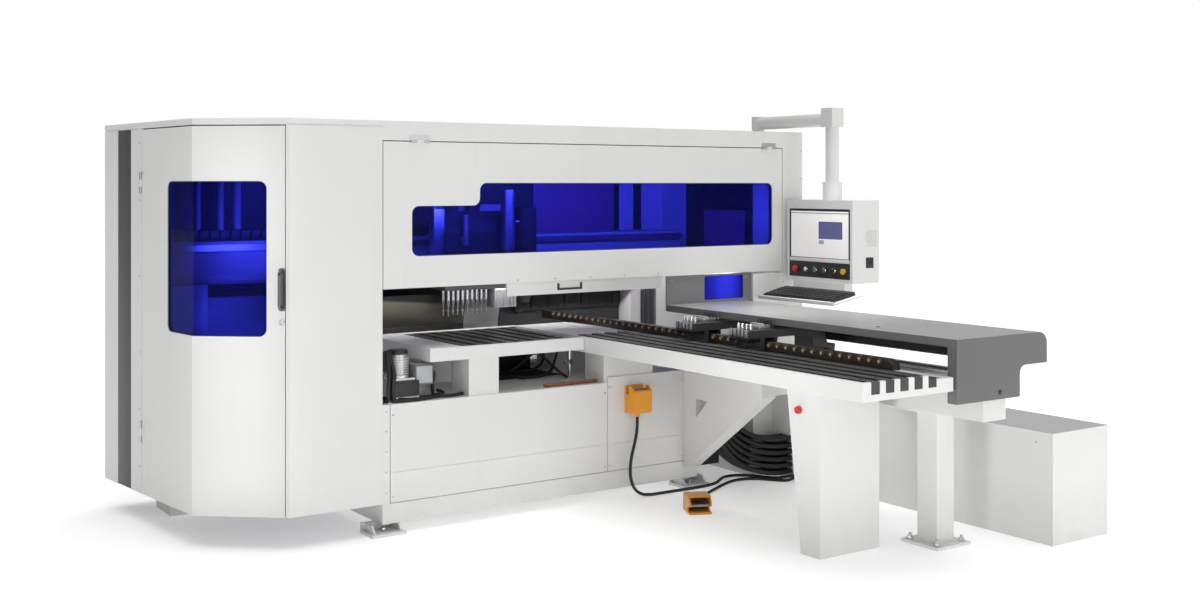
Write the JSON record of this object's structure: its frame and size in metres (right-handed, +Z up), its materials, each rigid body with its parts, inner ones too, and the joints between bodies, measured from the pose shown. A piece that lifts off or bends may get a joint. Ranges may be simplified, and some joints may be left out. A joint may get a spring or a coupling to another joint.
{
  "type": "six-sided drilling machine",
  "caption": "Enclosed six-sided panel drilling machine with hinged hood and bay doors, moving drilling heads, slatted infeed table, clamp beam and swinging control pendant.",
  "frame": {"origin": "middle of the machine's footprint on the floor", "axes": "+X to the right along the hood, +Y from the infeed end to the back, +Z up"},
  "size_m": [4.06, 3.6, 2.245],
  "materials": {
    "white_paint": "satin",
    "grey_paint": "satin",
    "beam_paint": "satin",
    "steel": "ground",
    "dark_paint": "satin",
    "black_plastic": "matt",
    "deflector_paint": "matt",
    "aluminium": "satin",
    "wheel_plastic": "matt",
    "blue_pane": "clear",
    "orange_paint": "satin",
    "cable_rubber": "matt",
    "chrome": "polished",
    "panel_plastic": "gloss",
    "red_plastic": "gloss",
    "amber_plastic": "gloss",
    "treadle_paint": "matt"
  },
  "bodies": {
    "base": {"bed": "white_paint", "front_apron": "white_paint", "right_apron": "white_paint", "anchor_feet": "white_paint", "beam_columns": "white_paint", "bay_front_panel": "white_paint", "side_panel": "white_paint", "roof": "white_paint", "rear_cover": "white_paint", "right_end_panel": "white_paint", "cross_beam": "beam_paint", "guide_rails": "steel", "chip_deflector": "deflector_paint", "front_table": "white_paint", "infeed_table": "white_paint", "table_slats": "black_plastic", "side_drive": "aluminium", "roller_rail": "dark_paint", "roller_wheels": "wheel_plastic", "clamp_beam": "white_paint", "beam_cover": "grey_paint", "cover_riser": "grey_paint", "riser_window": "blue_pane", "cover_end_cap": "grey_paint", "front_leg": "white_paint", "beam_post": "white_paint", "brace_bracket": "white_paint", "cabinet": "white_paint", "hung_pedal": "orange_paint", "floor_pedal": "orange_paint", "hung_cable": "cable_rubber", "floor_cable": "cable_rubber", "hose_bundle": "cable_rubber", "door_hinges": "steel"},
    "bay_door": {"bay_door": "white_paint", "bay_window": "blue_pane", "bay_handle": "chrome"},
    "hood_door": {"hood_door": "white_paint", "hood_window": "blue_pane", "lower_guard": "white_paint"},
    "upper_carriage": {"upper_saddle": "beam_paint"},
    "upper_head": {"upper_head": "aluminium", "spindle_bank": "steel", "router_motor": "dark_paint"},
    "lower_carriage": {"lower_saddle": "beam_paint"},
    "lower_head": {"lower_head": "aluminium"},
    "clamp_a": {"clamp_a": "aluminium"},
    "clamp_a_jaw": {"clamp_a_jaw": "steel"},
    "clamp_b": {"clamp_b": "aluminium"},
    "clamp_b_jaw": {"clamp_b_jaw": "steel"},
    "pendant_arm": {"pendant_arm": "white_paint"},
    "pendant": {"pendant_box": "white_paint", "operator_panel": "panel_plastic", "keyboard_tray": "white_paint", "keyboard": "black_plastic"},
    "stop_button": {"stop_button": "red_plastic"},
    "speed_knob": {"speed_knob": "amber_plastic"},
    "leg_stop": {"leg_stop": "red_plastic"},
    "hung_treadle": {"hung_treadle": "treadle_paint"},
    "floor_treadle": {"floor_treadle": "treadle_paint"}
  },
  "joints": [
    {"name": "bay_door_hinge", "type": "hinge", "parent": "base", "child": "bay_door", "pos_m": [-1.98228, 1.2843, 1.1], "axis": [0, 0, -1], "range_deg": [0, 100]},
    {"name": "hood_door_hinge", "type": "hinge", "parent": "base", "child": "hood_door", "pos_m": [0.32, 0.343, 2.0055], "axis": [-1, 0, 0], "range_deg": [0, 80]},
    {"name": "upper_carriage_x", "type": "slide", "parent": "base", "child": "upper_carriage", "axis": [1, 0, 0], "range_m": [-1.1, 0.9]},
    {"name": "upper_head_z", "type": "slide", "parent": "upper_carriage", "child": "upper_head", "axis": [0, 0, 1], "range_m": [-0.09, 0]},
    {"name": "lower_carriage_x", "type": "slide", "parent": "base", "child": "lower_carriage", "axis": [1, 0, 0], "range_m": [-0.7, 0.45]},
    {"name": "lower_head_z", "type": "slide", "parent": "lower_carriage", "child": "lower_head", "axis": [0, 0, 1], "range_m": [0, 0.03]},
    {"name": "clamp_a_y", "type": "slide", "parent": "base", "child": "clamp_a", "axis": [0, 1, 0], "range_m": [-0.28, 0.9]},
    {"name": "clamp_a_jaw_z", "type": "slide", "parent": "clamp_a", "child": "clamp_a_jaw", "axis": [0, 0, 1], "range_m": [-0.033, 0]},
    {"name": "clamp_b_y", "type": "slide", "parent": "base", "child": "clamp_b", "axis": [0, 1, 0], "range_m": [-1, 0.28]},
    {"name": "clamp_b_jaw_z", "type": "slide", "parent": "clamp_b", "child": "clamp_b_jaw", "axis": [0, 0, 1], "range_m": [-0.033, 0]},
    {"name": "pendant_arm_swing", "type": "hinge", "parent": "base", "child": "pendant_arm", "pos_m": [1.802, 0.722, 2.175], "axis": [0, 0, 1], "range_deg": [0, 100]},
    {"name": "pendant_turn", "type": "hinge", "parent": "pendant_arm", "child": "pendant", "pos_m": [1.802, 0.045, 1.74], "axis": [0, 0, 1], "range_deg": [0, 90]},
    {"name": "stop_button_push", "type": "slide", "parent": "pendant", "child": "stop_button", "axis": [1, 0, 0], "range_m": [0, 0.004], "stiffness_N_per_m": 400, "springref_m": -0.004},
    {"name": "speed_knob_turn", "type": "hinge", "parent": "pendant", "child": "speed_knob", "pos_m": [1.692, -0.165, 1.2675], "axis": [1, 0, 0], "range_deg": [-135, 135]},
    {"name": "leg_stop_push", "type": "slide", "parent": "base", "child": "leg_stop", "axis": [1, 0, 0], "range_m": [0, 0.004], "stiffness_N_per_m": 400, "springref_m": -0.004},
    {"name": "hung_treadle_press", "type": "hinge", "parent": "base", "child": "hung_treadle", "pos_m": [0.532, 0.32, 0.5155], "axis": [-1, 0, 0], "range_deg": [0, 10], "stiffness_Nm_per_rad": 20, "springref_deg": -11.46},
    {"name": "floor_treadle_press", "type": "hinge", "parent": "base", "child": "floor_treadle", "pos_m": [0.61881, -0.10967, 0.03], "axis": [0.9063, -0.4226, 0], "range_deg": [0, 10], "stiffness_Nm_per_rad": 20, "springref_deg": -11.46}
  ]
}
